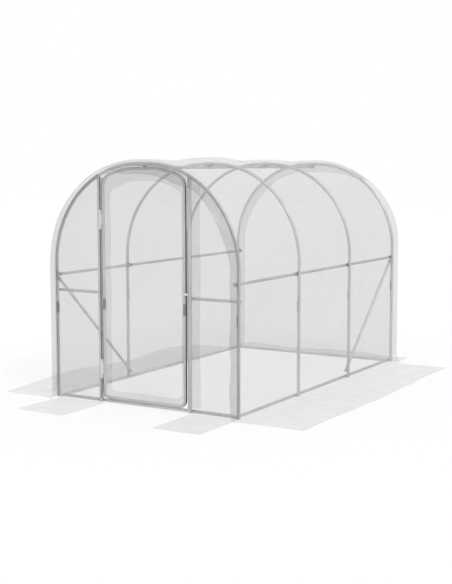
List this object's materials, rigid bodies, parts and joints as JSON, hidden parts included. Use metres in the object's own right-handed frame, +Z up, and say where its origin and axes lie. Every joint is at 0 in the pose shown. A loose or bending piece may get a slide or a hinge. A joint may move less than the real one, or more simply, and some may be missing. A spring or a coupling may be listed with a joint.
{
  "type": "polytunnel greenhouse",
  "caption": "Walk-in tunnel greenhouse: bent steel tube hoops under a clear film cover, with a hinged tube-framed door at the front and film skirts on the ground.",
  "frame": {"origin": "on the ground at the middle of the box round the whole part, skirts included", "axes": "+Z up, -Y towards the door end, +X to the right seen from the door end"},
  "size_m": [3.0536, 4.06, 2.0518],
  "materials": {
    "galvanised_tube": "galvanised, dull",
    "zinc_fittings": "zinc plated",
    "clear_film": "clear film, slightly milky"
  },
  "bodies": {
    "tunnel": {"back_base_rail": "galvanised_tube", "back_hoop_arch": "galvanised_tube", "back_hoop_legs": "galvanised_tube", "back_panel": "clear_film", "back_skirt": "clear_film", "cover": "clear_film", "crown_couplers": "zinc_fittings", "front_base_rail": "galvanised_tube", "front_hoop_arch": "galvanised_tube", "front_hoop_legs": "galvanised_tube", "front_left_hem": "clear_film", "front_left_panel": "clear_film", "front_left_skirt": "clear_film", "front_right_hem": "clear_film", "front_right_panel": "clear_film", "front_right_skirt": "clear_film", "hinge_post_leaves": "zinc_fittings", "latch_keeper": "zinc_fittings", "left_base_rail": "galvanised_tube", "left_brace": "galvanised_tube", "left_door_post": "galvanised_tube", "left_end_bar": "galvanised_tube", "left_purlin": "galvanised_tube", "left_skirt": "clear_film", "leg_sleeves": "zinc_fittings", "purlin_clamps": "zinc_fittings", "ridge_purlin": "galvanised_tube", "right_base_rail": "galvanised_tube", "right_brace": "galvanised_tube", "right_door_post": "galvanised_tube", "right_end_bar": "galvanised_tube", "right_purlin": "galvanised_tube", "right_skirt": "clear_film", "second_hoop_arch": "galvanised_tube", "second_hoop_legs": "galvanised_tube", "third_hoop_arch": "galvanised_tube", "third_hoop_legs": "galvanised_tube"},
    "door": {"door_frame_upper": "galvanised_tube", "door_frame_lower": "galvanised_tube", "door_sleeves": "zinc_fittings", "door_film": "clear_film", "door_film_hem": "clear_film", "hinge_door_leaves": "zinc_fittings", "door_latch": "zinc_fittings"}
  },
  "joints": [
    {"name": "door_hinge", "type": "hinge", "parent": "tunnel", "child": "door", "pos_m": [-0.4225, -1.445, 0.9], "axis": [0, 0, -1], "range_deg": [0, 110]}
  ]
}
